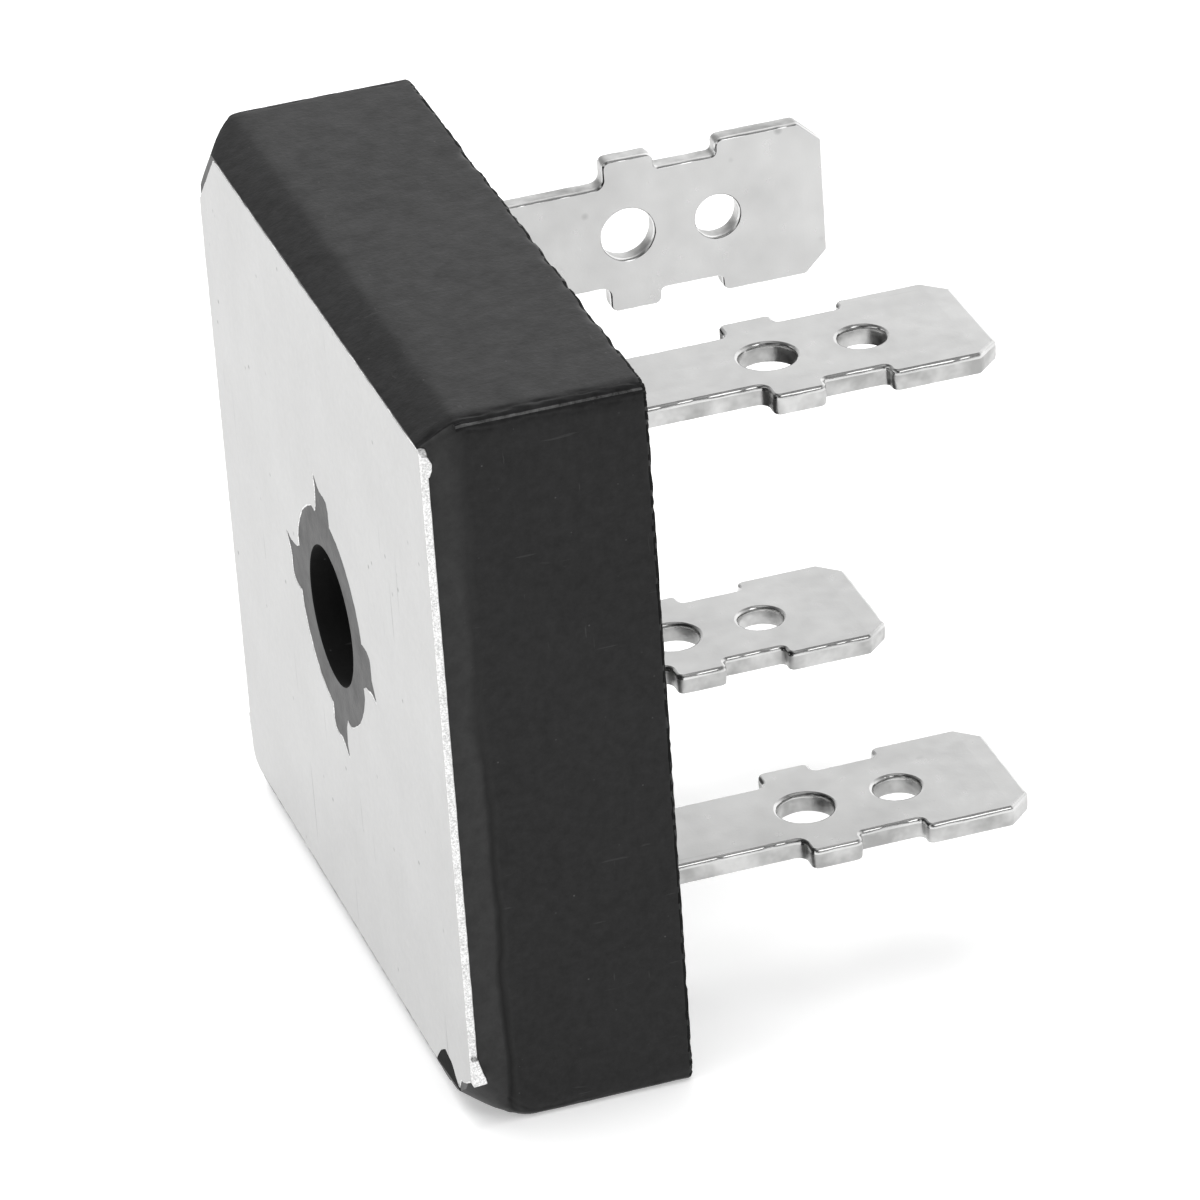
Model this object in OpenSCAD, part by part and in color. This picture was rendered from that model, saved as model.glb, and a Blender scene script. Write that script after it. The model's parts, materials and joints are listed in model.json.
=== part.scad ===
// Square single-phase bridge rectifier: a black moulded body over an exposed
// heat-sink plate, one central screw hole and four push-on blade terminals.
// The pieces are drawn lying on the heat-sink face, in (a, b, height). stand()
// then turns them to the rest pose, standing on one side wall of the moulding:
// a becomes Y, b becomes Z and height becomes X.

/* [Moulding] */
// Width of the moulding between the walls that the plate overhangs
case_a = 28.2; // [27:0.1:30]
// Width of the moulding between the walls that it stands on
case_b = 28.6; // [28:0.1:31]
// Height of the moulding from the heat-sink face to the terminal face
case_h = 8.5; // [7:0.05:12]
// Height of the bevel above the heat-sink face
bevel_h = 1.5; // [0.8:0.1:2]
// Inset of the bevel on the standing walls, at the heat-sink face
bevel_b = 0.6; // [0.4:0.1:1]
// Radius of the three plain corners at the heat-sink face
corner_r = 1.2; // [0.8:0.1:2]
// Cut of the fourth corner, which marks the positive terminal
case_cut = 2.2; // [1.6:0.1:2.8]
// Small chamfer round the terminal face
rim_chamfer = 0.1; // [0.05:0.05:0.4]
// Diameter of the round ejector marks in the terminal face
ejector_d = 2.4; // [1.5:0.1:3]
// Depth of the round ejector marks
ejector_depth = 0.15; // [0.05:0.05:0.3]

/* [Screw hole] */
// Diameter of the central screw hole
screw_hole_d = 5.3; // [5:0.1:5.6]

/* [Heat-sink plate] */
// Length of the plate across the two walls that it overhangs
plate_a = 28.9; // [28:0.1:31]
// Thickness of the plate
plate_t = 0.8; // [0.7:0.05:1]
// Thickness of the coined rim that shows beside the moulding
rim_t = 0.3; // [0.25:0.01:0.45]
// Cut of the plate's corner at the positive terminal
plate_cut = 2.8; // [2:0.1:3.4]
// Width of the coined step that locks the plate into the moulding
lock_w = 0.9; // [0.7:0.1:1.4]
// Diameter of the round opening in the plate
opening_d = 8.3; // [7.8:0.1:8.8]
// Width of the four notches of the opening
notch_w = 1.6; // [1:0.1:2]
// Reach of the notches from the centre
notch_reach = 5.1; // [4.8:0.1:5.4]
// Width of the cut tie bars at the plate's corners
tie_w = 0.8; // [0.6:0.1:1.4]
// Length of the cut tie bars beyond the plate
tie_len = 0.2; // [0.15:0.05:0.6]
// Distance of the tie bars from the plate's middle
tie_b = 12; // [9:0.1:12]

/* [Insulating layer] */
// Thickness of the insulating layer between the plate and the lead frame
insulator_t = 0.4; // [0.3:0.05:0.6]
// Distance from the plate's edge to the insulating layer
insulator_inset = 1.2; // [1:0.1:1.8]

/* [Terminals] */
// Thickness of the terminal sheet
sheet_t = 0.8; // [0.7:0.05:1]
// Width of the push-on head
head_w = 6.35; // [6.2:0.05:6.4]
// Width of the blade at its tip
tip_w = 4.65; // [4:0.05:5]
// Width of the neck below the head
neck_w = 5.05; // [4.8:0.05:5.4]
// Width of the stop lugs
lug_w = 6.3; // [6:0.05:6.4]
// Width of the stem that leaves the moulding
stem_w = 4.2; // [3.8:0.05:4.6]
// Height of the blade tip above the heat-sink face
tip_h = 23.1; // [20:0.1:26]
// Length of the sloped corners at the tip
tip_len = 0.9; // [0.6:0.1:1.4]
// Distance from the tip down to the neck
head_len = 4.25; // [4:0.05:4.6]
// Distance from the tip down to the top of the lugs
lug_top = 6.7; // [6.5:0.1:7]
// Height of the stop lugs
lug_len = 2.05; // [1.8:0.05:2.3]
// Corner radius of the blade's outline
blade_r = 0.3; // [0.1:0.05:0.4]
// Distance from the tip down to the detent hole
detent_from_tip = 4.3; // [4:0.05:4.4]
// Diameter of the detent hole
detent_d = 1.76; // [1.5:0.02:2]
// Distance from the tip down to the wire hole
wire_from_tip = 7.9; // [7.5:0.05:8]
// Diameter of the wire hole
wire_d = 2.1; // [1.8:0.05:2.4]
// Inner radius of the fold at the foot of a blade
fold_r = 0.6; // [0.4:0.1:0.8]

/* [Terminal positions] */
// Distance of the first AC blade from the centre line
ac_1_a = 7.1; // [7:0.1:7.6]
// Height of the first AC blade's plane above the centre line
ac_1_b = 10.3; // [10:0.1:10.5]
// Distance of the second AC blade from the centre line
ac_2_a = 6.9; // [6.7:0.1:7.6]
// Depth of the second AC blade's plane below the centre line
ac_2_b = 8.3; // [7.8:0.1:8.5]
// Distance of the negative blade from the centre line
neg_a = 8.4; // [7.6:0.1:8.5]
// Depth of the negative blade's plane below the centre line
neg_b = 7.8; // [7.6:0.1:8.3]
// Distance of the positive blade's plane from the centre line
pos_a = 9.5; // [9:0.1:9.6]
// Height of the positive blade above the centre line
pos_b = 8.4; // [8.2:0.1:8.6]

/* [Diode chips] */
// Side of a square diode chip
chip_w = 4.2; // [3.6:0.1:4.6]
// Thickness of a diode chip
chip_t = 0.35; // [0.25:0.05:0.5]
// Thickness of a solder layer
solder_t = 0.1; // [0.06:0.02:0.16]
// Margin of the solder inside the chip's edge
solder_inset = 0.3; // [0.2:0.1:0.6]

/* [Jumper clips] */
// Width of a jumper clip
clip_w = 2.4; // [2:0.1:2.8]
// Thickness of a jumper clip
clip_t = 0.5; // [0.4:0.05:0.6]
// Rise of the clip's arch above its chip end
arch_h = 0.7; // [0.5:0.05:0.9]
// Length of the clip's foot
foot_len = 1.6; // [1.3:0.1:1.8]

/* [Hidden] */
$fn = 64;
// Overrun of cutting tools past a face
over = 1;
plate_b = case_b - 2 * bevel_b;
plate_h0 = plate_t + insulator_t;
pad_top = plate_h0 + sheet_t;
chip_h0 = pad_top + solder_t;
chip_top = chip_h0 + chip_t;
clip_h0 = chip_top + solder_t;
clip_foot_h0 = pad_top + solder_t;
// The lead frame: plastic left outside the band of pads, and the band's outer limits
cover_a = 2.3;
cover_b = 2.7;
band_a = case_a / 2 - cover_a;
band_b = case_b / 2 - cover_b;
// Pad left showing round a chip, and the arms the chips sit on
chip_rim = 0.5;
arm_w = chip_w + 2 * chip_rim;
mid_a = band_a - arm_w / 2;
mid_b = band_b - arm_w / 2;
// Gap between two neighbouring pads
pad_gap = 1.6;
// Middles of the chips along the sides, and where their arms end
chip_off = 1.4;
arm_end = chip_off - chip_w / 2 - chip_rim;
landing = arm_end - pad_gap;
// Middle of a clip's foot, measured from the centre line like chip_off
foot_rim = 0.2;
foot_mid = landing - foot_len / 2 - foot_rim;
// Plastic kept between the screw hole and the pads
post_wall = 2.4;
post_r = screw_hole_d / 2 + post_wall;
// Clearance beside the stem where it is cut out of its pad
slot_gap = 0.15;
// Taper of the blade tip's faces
lead_in = 0.2;
// Half length of a clip's chip end, and the runs of its arch
clip_half = 1.2;
rise_run = 0.6;
crest_run = 1.4;
bend_ease = clip_t * 0.4;
// Clearance of the insulating layer round the plate's opening
opening_gap = 0.2;

// Turns a piece from its flat drawing to the standing rest pose
module stand() rotate([90, 0, 90]) children();

// Puts a terminal's own frame at its fold: x across the blade, y away from the pad
module at_fold(p, turn) translate([p[0], p[1], 0]) rotate(turn) children();

// A bar with rounded corners, centred across, standing on the x axis
module rounded_bar(w, l, r) {
    translate([-w / 2 + r, 0]) square([w - 2 * r, l]);
    translate([-w / 2, r]) square([w, l - 2 * r]);
    for (x = [-1, 1], y = [r, l - r]) translate([x * (w / 2 - r), y]) circle(r);
}

// A centred rectangle with rounded corners
module rounded_plate(a, b, r) translate([0, -b / 2]) rounded_bar(a, b, r);

// Outline at the heat-sink face: three rounded corners and the cut one
module keyed_plate(a, b, cut) difference() {
    rounded_plate(a, b, corner_r);
    translate([a / 2, b / 2]) rotate(45) square(cut * sqrt(2), center = true);
}

// ---- moulding ----

// Square walls with a chamfered rim, drawn in at the bevel to the plate's keyed outline
module moulding_outside() {
    rim = [1 - 2 * rim_chamfer / case_a, 1 - 2 * rim_chamfer / case_b];
    hull() {
        linear_extrude(rim_t) keyed_plate(case_a, plate_b, case_cut);
        translate([0, 0, bevel_h]) linear_extrude(case_h - rim_chamfer - bevel_h)
            square([case_a, case_b], center = true);
        translate([0, 0, case_h - rim_chamfer]) linear_extrude(rim_chamfer, scale = rim)
            square([case_a, case_b], center = true);
    }
}

module ejector_marks() {
    for (spot = [[mid_a, 0], [0, mid_b], [-mid_a, 0], [0, -mid_b]])
        translate([spot[0], spot[1], case_h - ejector_depth]) cylinder(d = ejector_d, h = over);
}

module embedded_pieces() {
    plate_solid();
    insulator_solid();
    positive_solid();
    negative_solid();
    ac_1_solid();
    ac_2_solid();
    for (i = [0:3]) at_chip(i) {
        chip_solid();
        clip_solid();
        chip_solder_solid();
        clip_solder_solid();
        foot_solder_solid();
    }
}

module case_moulding() stand() color([0.2, 0.2, 0.21]) difference() {
    moulding_outside();
    translate([0, 0, -over]) cylinder(d = screw_hole_d, h = case_h + 2 * over);
    ejector_marks();
    embedded_pieces();
}

// ---- heat-sink plate and insulating layer ----

// Round opening with four notches that the moulding grips
module opening_outline() {
    circle(d = opening_d);
    for (turn = [0, 90]) rotate(turn) square([2 * notch_reach, notch_w], center = true);
}

module plate_solid() {
    lock = 2 * lock_w;
    difference() {
        union() {
            linear_extrude(rim_t) keyed_plate(plate_a, plate_b, plate_cut);
            linear_extrude(plate_t) keyed_plate(plate_a - lock, plate_b - lock, plate_cut);
            for (spot = [[-1, 1], [-1, -1], [1, -1]]) tie_bar(spot[0], spot[1]);
        }
        translate([0, 0, -over]) linear_extrude(plate_t + 2 * over) opening_outline();
    }
}

// Stub of a bar that held the plate in its strip at a plain corner, cut off past the rim
module tie_bar(x, y) {
    out = plate_a / 2 + tie_len;
    root = plate_a / 2 - lock_w - tie_w;
    linear_extrude(rim_t) polygon([
        [x * root, y * (tie_b - tie_w / 2)], [x * out, y * (tie_b - tie_w / 2)],
        [x * out, y * (tie_b + tie_w / 2)], [x * root, y * (tie_b + tie_w / 2)]
    ]);
}

module insulator_solid() {
    w = plate_a - 2 * lock_w - 2 * insulator_inset;
    l = plate_b - 2 * lock_w - insulator_inset;
    translate([0, 0, plate_t]) linear_extrude(insulator_t) difference() {
        keyed_plate(w, l, plate_cut);
        circle(r = notch_reach + opening_gap);
    }
}

module heatsink_plate() stand() color([0.83, 0.83, 0.84]) plate_solid();
module insulating_layer() stand() color([0.9, 0.88, 0.8]) insulator_solid();

// ---- terminals ----

// Pads of one terminal: the corner square, and arms that reach under the chips
module pad_outline(corner, arm_along_a, arm_along_b) difference() {
    union() {
        translate([corner[0] > 0 ? -landing : -band_a, corner[1] > 0 ? -landing : -band_b])
            square([band_a + landing, band_b + landing]);
        if (arm_along_a) translate([arm_end, corner[1] > 0 ? band_b - arm_w : -band_b])
            square([-landing - arm_end, arm_w]);
        if (arm_along_b) translate([corner[0] > 0 ? band_a - arm_w : -band_a, arm_end])
            square([arm_w, -landing - arm_end]);
    }
    circle(post_r);
}

// The cut in the pad that freed the stem
module stem_slot() {
    w = stem_w + 2 * slot_gap;
    translate([-w / 2, -sheet_t / 2 - fold_r]) square([w, max(case_a, case_b) / 2]);
}

// Front outline of the upright blade, from the fold to the tip
module blade_outline() {
    foot = pad_top + fold_r;
    head = tip_h - head_len;
    lug = tip_h - lug_top - lug_len;
    shoulder = tip_h - tip_len;
    translate([-stem_w / 2, foot]) square([stem_w, lug + blade_r - foot]);
    translate([0, lug]) rounded_bar(lug_w, lug_len, blade_r);
    translate([-neck_w / 2, lug + lug_len / 2]) square([neck_w, head - lug]);
    translate([0, head]) rounded_bar(head_w, shoulder - head, blade_r);
    polygon([
        [-head_w / 2, shoulder - blade_r], [head_w / 2, shoulder - blade_r],
        [head_w / 2, shoulder], [tip_w / 2, tip_h], [-tip_w / 2, tip_h], [-head_w / 2, shoulder]
    ]);
}

// Side view of the upright blade, thinned at the tip for the push-on socket
module blade_side() {
    t = sheet_t / 2;
    foot = pad_top + fold_r;
    polygon([
        [-t, foot], [t, foot], [t, tip_h - tip_len], [t - lead_in, tip_h],
        [-t + lead_in, tip_h], [-t, tip_h - tip_len]
    ]);
}

// Quarter bend from the pad up into the blade
module fold_side() {
    r = fold_r + sheet_t;
    intersection() {
        difference() {
            circle(r);
            circle(fold_r);
        }
        translate([0, -r]) square(r);
    }
}

module blade_solid() {
    difference() {
        intersection() {
            translate([0, sheet_t / 2, 0]) rotate([90, 0, 0]) linear_extrude(sheet_t) blade_outline();
            translate([-head_w / 2 - over, 0, 0]) rotate([90, 0, 90])
                linear_extrude(head_w + 2 * over) blade_side();
        }
        for (hole = [[detent_from_tip, detent_d], [wire_from_tip, wire_d]])
            translate([0, sheet_t / 2 + over, tip_h - hole[0]]) rotate([90, 0, 0])
                cylinder(d = hole[1], h = sheet_t + 2 * over);
    }
    translate([-stem_w / 2, -sheet_t / 2 - fold_r, pad_top + fold_r]) rotate([90, 0, 90])
        linear_extrude(stem_w) fold_side();
}

module terminal_solid(corner, arm_along_a, arm_along_b, fold_at, turn) {
    translate([0, 0, plate_h0]) linear_extrude(sheet_t) difference() {
        pad_outline(corner, arm_along_a, arm_along_b);
        at_fold(fold_at, turn) stem_slot();
    }
    at_fold(fold_at, turn) blade_solid();
}

module positive_solid() terminal_solid([1, 1], true, true, [pos_a, pos_b], -90);
module negative_solid() terminal_solid([-1, -1], false, false, [-neg_a, -neg_b], 180);
module ac_1_solid() terminal_solid([-1, 1], false, true, [-ac_1_a, ac_1_b], 0);
module ac_2_solid() terminal_solid([1, -1], true, false, [ac_2_a, -ac_2_b], 180);

module terminal_positive() stand() color([0.8, 0.8, 0.79]) positive_solid();
module terminal_negative() stand() color([0.78, 0.78, 0.77]) negative_solid();
module terminal_ac_1() stand() color([0.76, 0.76, 0.75]) ac_1_solid();
module terminal_ac_2() stand() color([0.74, 0.74, 0.73]) ac_2_solid();

// ---- diode chips, jumper clips and solder ----

// Puts a chip's own frame on its arm: x points from the chip to its clip's foot.
// Chips 0 and 3 sit along the walls at b, chips 1 and 2 along the walls at a.
module at_chip(i) {
    spots = [
        [chip_off, mid_b, 180], [mid_a, chip_off, -90],
        [-mid_a, chip_off, -90], [chip_off, -mid_b, 180]
    ];
    translate([spots[i][0], spots[i][1], 0]) rotate(spots[i][2]) children();
}

// A centred block of thickness t that stands at height h0
module slab(w, l, h0, t) translate([-w / 2, -l / 2, h0]) cube([w, l, t]);

module chip_solid() slab(chip_w, chip_w, chip_h0, chip_t);

module chip_solder_solid() {
    w = chip_w - 2 * solder_inset;
    slab(w, w, pad_top, solder_t);
}

module clip_solder_solid() slab(2 * clip_half, clip_w, chip_top, solder_t);

module foot_solder_solid() translate([chip_off - foot_mid, 0, 0]) slab(foot_len, clip_w, pad_top, solder_t);

// Side view of a clip: flat on the chip, arched over the gap, flat on the next pad
module clip_side() {
    foot = chip_off - foot_mid - foot_len / 2;
    crest = clip_h0 + arch_h;
    crest_start = clip_half + rise_run;
    crest_end = crest_start + crest_run;
    polygon([
        [-clip_half, clip_h0], [clip_half, clip_h0], [crest_start, crest], [crest_end, crest],
        [foot, clip_foot_h0], [foot + foot_len, clip_foot_h0],
        [foot + foot_len, clip_foot_h0 + clip_t], [foot + bend_ease, clip_foot_h0 + clip_t],
        [crest_end + bend_ease, crest + clip_t], [crest_start - bend_ease, crest + clip_t],
        [clip_half - bend_ease, clip_h0 + clip_t], [-clip_half, clip_h0 + clip_t]
    ]);
}

module clip_solid() translate([0, clip_w / 2, 0]) rotate([90, 0, 0]) linear_extrude(clip_w) clip_side();

module diode_chip(i) stand() color([0.42, 0.44, 0.5]) at_chip(i) chip_solid();
module jumper_clip(i) stand() color([0.75, 0.55, 0.38]) at_chip(i) clip_solid();
module diode_chip_1() diode_chip(0);
module diode_chip_2() diode_chip(1);
module diode_chip_3() diode_chip(2);
module diode_chip_4() diode_chip(3);
module jumper_clip_1() jumper_clip(0);
module jumper_clip_2() jumper_clip(1);
module jumper_clip_3() jumper_clip(2);
module jumper_clip_4() jumper_clip(3);
module chip_solder() stand() color([0.66, 0.67, 0.7]) for (i = [0:3]) at_chip(i) chip_solder_solid();
module clip_solder() stand() color([0.66, 0.67, 0.7]) for (i = [0:3]) at_chip(i) clip_solder_solid();
module foot_solder() stand() color([0.66, 0.67, 0.7]) for (i = [0:3]) at_chip(i) foot_solder_solid();

case_moulding();
heatsink_plate();
insulating_layer();
terminal_positive();
terminal_negative();
terminal_ac_1();
terminal_ac_2();
diode_chip_1();
diode_chip_2();
diode_chip_3();
diode_chip_4();
jumper_clip_1();
jumper_clip_2();
jumper_clip_3();
jumper_clip_4();
chip_solder();
clip_solder();
foot_solder();
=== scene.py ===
import json
import math
import bmesh
import bpy
from mathutils import Matrix, Vector, noise

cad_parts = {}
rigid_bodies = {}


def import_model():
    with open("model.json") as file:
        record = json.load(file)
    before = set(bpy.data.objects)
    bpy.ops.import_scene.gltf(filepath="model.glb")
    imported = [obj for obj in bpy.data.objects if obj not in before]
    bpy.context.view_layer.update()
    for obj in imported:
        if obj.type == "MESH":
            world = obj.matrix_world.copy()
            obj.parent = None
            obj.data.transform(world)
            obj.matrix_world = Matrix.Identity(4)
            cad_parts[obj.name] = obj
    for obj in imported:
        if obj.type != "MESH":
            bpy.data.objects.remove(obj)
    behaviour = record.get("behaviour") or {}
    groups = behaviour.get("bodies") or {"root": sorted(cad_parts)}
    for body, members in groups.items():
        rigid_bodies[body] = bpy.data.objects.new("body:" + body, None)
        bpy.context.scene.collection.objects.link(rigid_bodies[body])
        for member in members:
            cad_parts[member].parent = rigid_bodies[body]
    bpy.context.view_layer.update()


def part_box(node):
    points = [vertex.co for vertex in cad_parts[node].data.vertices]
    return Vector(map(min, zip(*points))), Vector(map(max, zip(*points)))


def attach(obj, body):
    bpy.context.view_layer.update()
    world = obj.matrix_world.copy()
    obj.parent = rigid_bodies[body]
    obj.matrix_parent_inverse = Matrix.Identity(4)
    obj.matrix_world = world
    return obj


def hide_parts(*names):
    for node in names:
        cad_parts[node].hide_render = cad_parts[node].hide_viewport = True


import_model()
mm = 0.001


# Short calls for building node trees

def addNode(tree, kind, values=None, **settings):
    node = tree.nodes.new("ShaderNode" + kind)
    for key, value in settings.items():
        setattr(node, key, value)
    for key, value in (values or {}).items():
        node.inputs[key].default_value = value
    return node


def newMaterial(name, colour, metallic, roughness, specular=0.5):
    material = bpy.data.materials.new(name)
    material.use_nodes = True
    tree = material.node_tree
    tree.nodes.clear()
    output = addNode(tree, "OutputMaterial")
    shader = addNode(tree, "BsdfPrincipled")
    shader.inputs["Base Color"].default_value = (*colour, 1)
    shader.inputs["Metallic"].default_value = metallic
    shader.inputs["Roughness"].default_value = roughness
    shader.inputs["Specular IOR Level"].default_value = specular
    tree.links.new(shader.outputs["BSDF"], output.inputs["Surface"])
    return material, tree, shader


def objectPlace(tree, stretch=(1, 1, 1), turn=(0, 0, 0)):
    coordinates = addNode(tree, "TexCoord")
    mapping = addNode(tree, "Mapping", {"Scale": stretch, "Rotation": turn})
    tree.links.new(coordinates.outputs["Object"], mapping.inputs["Vector"])
    return mapping.outputs["Vector"]


def noiseAt(tree, place, scale, detail=4, rough=0.6):
    # scale: noise cells to the metre
    node = addNode(tree, "TexNoise", {"Scale": scale, "Detail": detail, "Roughness": rough})
    tree.links.new(place, node.inputs["Vector"])
    return node.outputs["Fac"]


def drawnOut(tree, stretch, turn=(0, 0, 0), detail=2):
    # Noise pulled out into streaks
    return noiseAt(tree, objectPlace(tree, stretch, turn), 1, detail)


def remap(tree, value, low, high, lowTo, highTo):
    node = addNode(tree, "MapRange", {
        "From Min": low, "From Max": high, "To Min": lowTo, "To Max": highTo})
    tree.links.new(value, node.inputs["Value"])
    return node.outputs["Result"]


def calculate(tree, operation, first, second):
    node = addNode(tree, "Math", operation=operation)
    for socket, value in ((0, first), (1, second)):
        if isinstance(value, (int, float)):
            node.inputs[socket].default_value = value
        else:
            tree.links.new(value, node.inputs[socket])
    return node.outputs["Value"]


def weighted(tree, first, second, share):
    # share: how much of the second value goes in
    return calculate(tree, "ADD", calculate(tree, "MULTIPLY", first, 1 - share),
                     calculate(tree, "MULTIPLY", second, share))


def patchySpecks(tree, place, specks, patches):
    # specks: scale and size; patches: scale, where they begin, where they are full, and how strong
    scale, size = specks
    node = addNode(tree, "TexVoronoi", {"Scale": scale, "Randomness": 1})
    tree.links.new(place, node.inputs["Vector"])
    dots = remap(tree, node.outputs["Distance"], size, size * 0.4, 0, 1)
    patchScale, begins, full, strength = patches
    return calculate(tree, "MULTIPLY", dots,
                     remap(tree, noiseAt(tree, place, patchScale, 2), begins, full, 0, strength))


def mixColours(tree, factor, first, second):
    node = addNode(tree, "Mix", data_type="RGBA")
    tree.links.new(factor, node.inputs[0])
    for socket, colour in ((6, first), (7, second)):
        if isinstance(colour, tuple):
            node.inputs[socket].default_value = (*colour, 1)
        else:
            tree.links.new(colour, node.inputs[socket])
    return node.outputs[2]


def addBump(tree, shader, height, distance, strength, below=None):
    node = addNode(tree, "Bump", {"Distance": distance, "Strength": strength})
    tree.links.new(height, node.inputs["Height"])
    if below is not None:
        tree.links.new(below, node.inputs["Normal"])
    tree.links.new(node.outputs["Normal"], shader.inputs["Normal"])
    return node.outputs["Normal"]


def grey(value):
    return (value, value, value)


# Short calls for building meshes

def ringFaces(bm, lower, upper):
    count = len(lower)
    made = []
    for i in range(count):
        k = (i + 1) % count
        made.append(bm.faces.new((lower[i], lower[k], upper[k], upper[i])))
    for face in made:
        face.smooth = True
    return made


def loopEdges(bm, ring):
    edges = []
    for i, vert in enumerate(ring):
        other = ring[(i + 1) % len(ring)]
        edge = bm.edges.get((vert, other))
        edges.append(edge if edge else bm.edges.new((vert, other)))
    return edges


def fillRegion(bm, rings):
    edges = []
    for ring in rings:
        edges.extend(loopEdges(bm, ring))
    made = bmesh.ops.triangle_fill(bm, use_beauty=True, use_dissolve=False, edges=edges)
    return [part for part in made["geom"] if isinstance(part, bmesh.types.BMFace)]


def addRing(bm, height, points):
    # height and points in millimetres, the points as (y, z)
    return [bm.verts.new((height * mm, y * mm, z * mm)) for y, z in points]


def finishMesh(bm, name, materials, sharpAngle):
    bmesh.ops.recalc_face_normals(bm, faces=bm.faces)
    for edge in bm.edges:
        if len(edge.link_faces) == 2 and edge.calc_face_angle(0) > math.radians(sharpAngle):
            edge.smooth = False
    mesh = bpy.data.meshes.new(name)
    bm.to_mesh(mesh)
    bm.free()
    for material in materials:
        mesh.materials.append(material)
    piece = bpy.data.objects.new(name, mesh)
    bpy.context.scene.collection.objects.link(piece)
    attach(piece, "root")
    return piece


def roundCorners(corners, steps):
    # corners: (x, y, radius) in order, anticlockwise for material inside
    points = []
    count = len(corners)
    for i, (x, y, radius) in enumerate(corners):
        here = Vector((x, y))
        before = Vector(corners[i - 1][:2]) - here
        after = Vector(corners[(i + 1) % count][:2]) - here
        if radius <= 0:
            points.append(here)
            continue
        half = before.angle(after) / 2
        reach = min(radius / math.tan(half), before.length * 0.49, after.length * 0.49)
        size = reach * math.tan(half)
        inward = (before.normalized() + after.normalized()).normalized()
        middle = here + inward * (size / math.sin(half))
        start = here + before.normalized() * reach - middle
        end = here + after.normalized() * reach - middle
        sweep = start.angle_signed(end)
        for k in range(steps + 1):
            turned = start.copy()
            turned.rotate(Matrix.Rotation(-sweep * k / steps, 2))
            points.append(middle + turned)
    return points


def denser(points, spacing):
    # Splits long runs so that each loop can carry small irregularities
    result = []
    for i, point in enumerate(points):
        other = points[(i + 1) % len(points)]
        pieces = max(1, round((other - point).length / spacing))
        for k in range(pieces):
            result.append(point.lerp(other, k / pieces))
    return result


def circlePoints(x, y, radius, count):
    points = []
    for i in range(count):
        angle = 2 * math.pi * i / count
        points.append(Vector((x + radius * math.cos(angle), y + radius * math.sin(angle))))
    return points


def outwardNormals(points):
    result = []
    for i, point in enumerate(points):
        along = points[(i + 1) % len(points)] - points[i - 1]
        result.append(Vector((along.y, -along.x)).normalized())
    return result


# Unevenness of punched edges: noise scale, shift from one level to the next, and share
edgeWaves = {"long": (2.3, 0.35, 0.6), "short": (9, 1.7, 0.4), "offset": 0.5}


def edgeWave(point, seed, level):
    total = edgeWaves["offset"]
    for key in ("long", "short"):
        scale, shift, share = edgeWaves[key]
        total += share * noise.noise(Vector((point.x * scale, point.y * scale, seed + level * shift)))
    return total


def sheetMesh(loops, thickness, profile, wobble, seed, edgeLevels):
    # Flat sheet with shaped edges; local z runs from the front face (0) to the back (thickness)
    # profile: (inset, share of the thickness) for each level; edgeLevels: material of each level
    bm = bmesh.new()
    fronts = []
    backs = []
    for index, points in enumerate(loops):
        if index > 0:
            points = list(reversed(points))
        normals = outwardNormals(points)
        rings = []
        for level, (inset, depth) in enumerate(profile):
            ring = []
            for point, normal in zip(points, normals):
                spot = point - normal * (inset + wobble * edgeWave(point, seed, level))
                ring.append(bm.verts.new((spot.x * mm, spot.y * mm, depth * thickness * mm)))
            if rings:
                for face in ringFaces(bm, rings[-1], ring):
                    face.material_index = edgeLevels[level]
            rings.append(ring)
        fronts.append(rings[0])
        backs.append(rings[-1])
    fillRegion(bm, fronts)
    fillRegion(bm, backs)
    return bm


print("materials")

plasticLook = {
    "dark": (0.003, 0.003, 0.0031),
    "pale": (0.0125, 0.0125, 0.0129),
    "marks": grey(0.15),
    "roughness": 0.42,
    "specular": 0.24,
    "texture": 0.2,
    "scratches": 0.1,
    "dust": ((1100, 0.035), (330, 0.5, 0.6, 0.5)),
    "grit": ((1500, 0.07), (700, 0.46, 0.62, 0.4))}

# Other finishes of the same compound: a pale edge line that is a painted highlight, face against the mould's
# floor, screw hole
paintedHighlightLook = {"dark": grey(0.012), "pale": grey(0.12), "roughness": 0.4, "specular": 0.24}
smoothLook = {"dark": grey(0.008), "pale": grey(0.014), "roughness": 0.36, "specular": 0.17}
holeLook = {"dark": grey(0.007), "pale": grey(0.01), "roughness": 0.7, "specular": 0.06}

# Coarser band of the moulding beside the plate, with painted shade along a crease line: places and widths in
# metres
bandLook = {
    "full": 0.0012,
    "gone": 0.0019,
    "drift": 0.0002,
    "paintedCreaseHeight": 0.00155,
    "paintedCreaseWidth": 0.00022,
    "paintedCreaseFrom": 0.012,
    "paintedCreaseFull": -0.008,
    "shade": grey(0.036),
    "paintedCreaseShade": grey(0.001),
    "rough": 0.2}


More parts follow.
